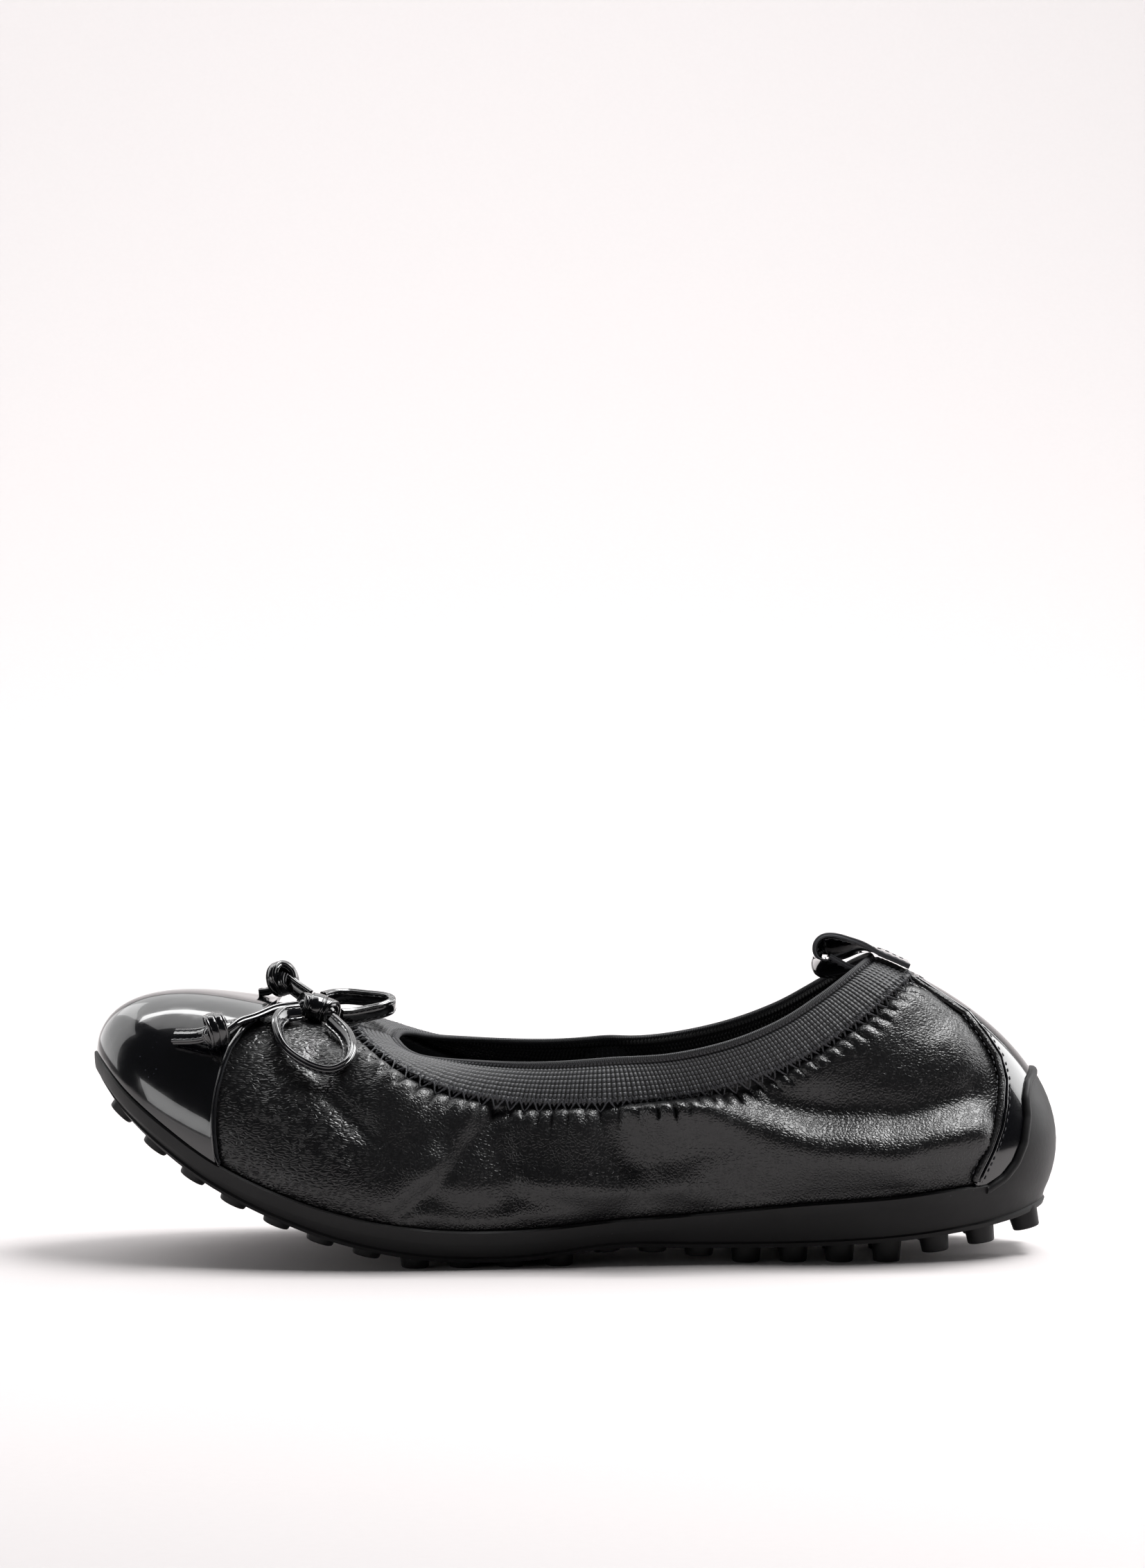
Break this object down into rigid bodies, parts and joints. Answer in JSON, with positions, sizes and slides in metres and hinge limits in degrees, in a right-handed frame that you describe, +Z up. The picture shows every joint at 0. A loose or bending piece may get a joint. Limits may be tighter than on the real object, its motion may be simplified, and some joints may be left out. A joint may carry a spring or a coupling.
{
  "type": "ballet flat",
  "caption": "Low slip-on flat shoe with an elasticated collar, capped toe, small bow, heel pull loop and a studded cup sole that wraps up the heel.",
  "frame": {"origin": "on the floor under the middle of the shoe's bounding box", "axes": "-X to the toe, +X to the heel, -Y to the outer side of the foot, +Z up"},
  "size_m": [0.2386, 0.0844, 0.0789],
  "materials": {
    "black_rubber": "satin moulded rubber",
    "sock_lining": "matt dark sock lining",
    "nappa_leather": "soft grained leather with a low sheen",
    "patent_leather": "high gloss patent leather",
    "woven_elastic": "matt ribbed weave"
  },
  "bodies": {
    "root": {"outsole": "black_rubber", "insole": "sock_lining", "upper": "nappa_leather", "toe_cap": "patent_leather", "back_strip": "patent_leather", "collar_band": "woven_elastic", "pull_tab": "patent_leather", "bow_knot": "patent_leather", "bow_loop_near": "patent_leather", "bow_loop_far": "patent_leather", "bow_tail_near": "patent_leather", "bow_tail_far": "patent_leather"}
  },
  "joints": []
}
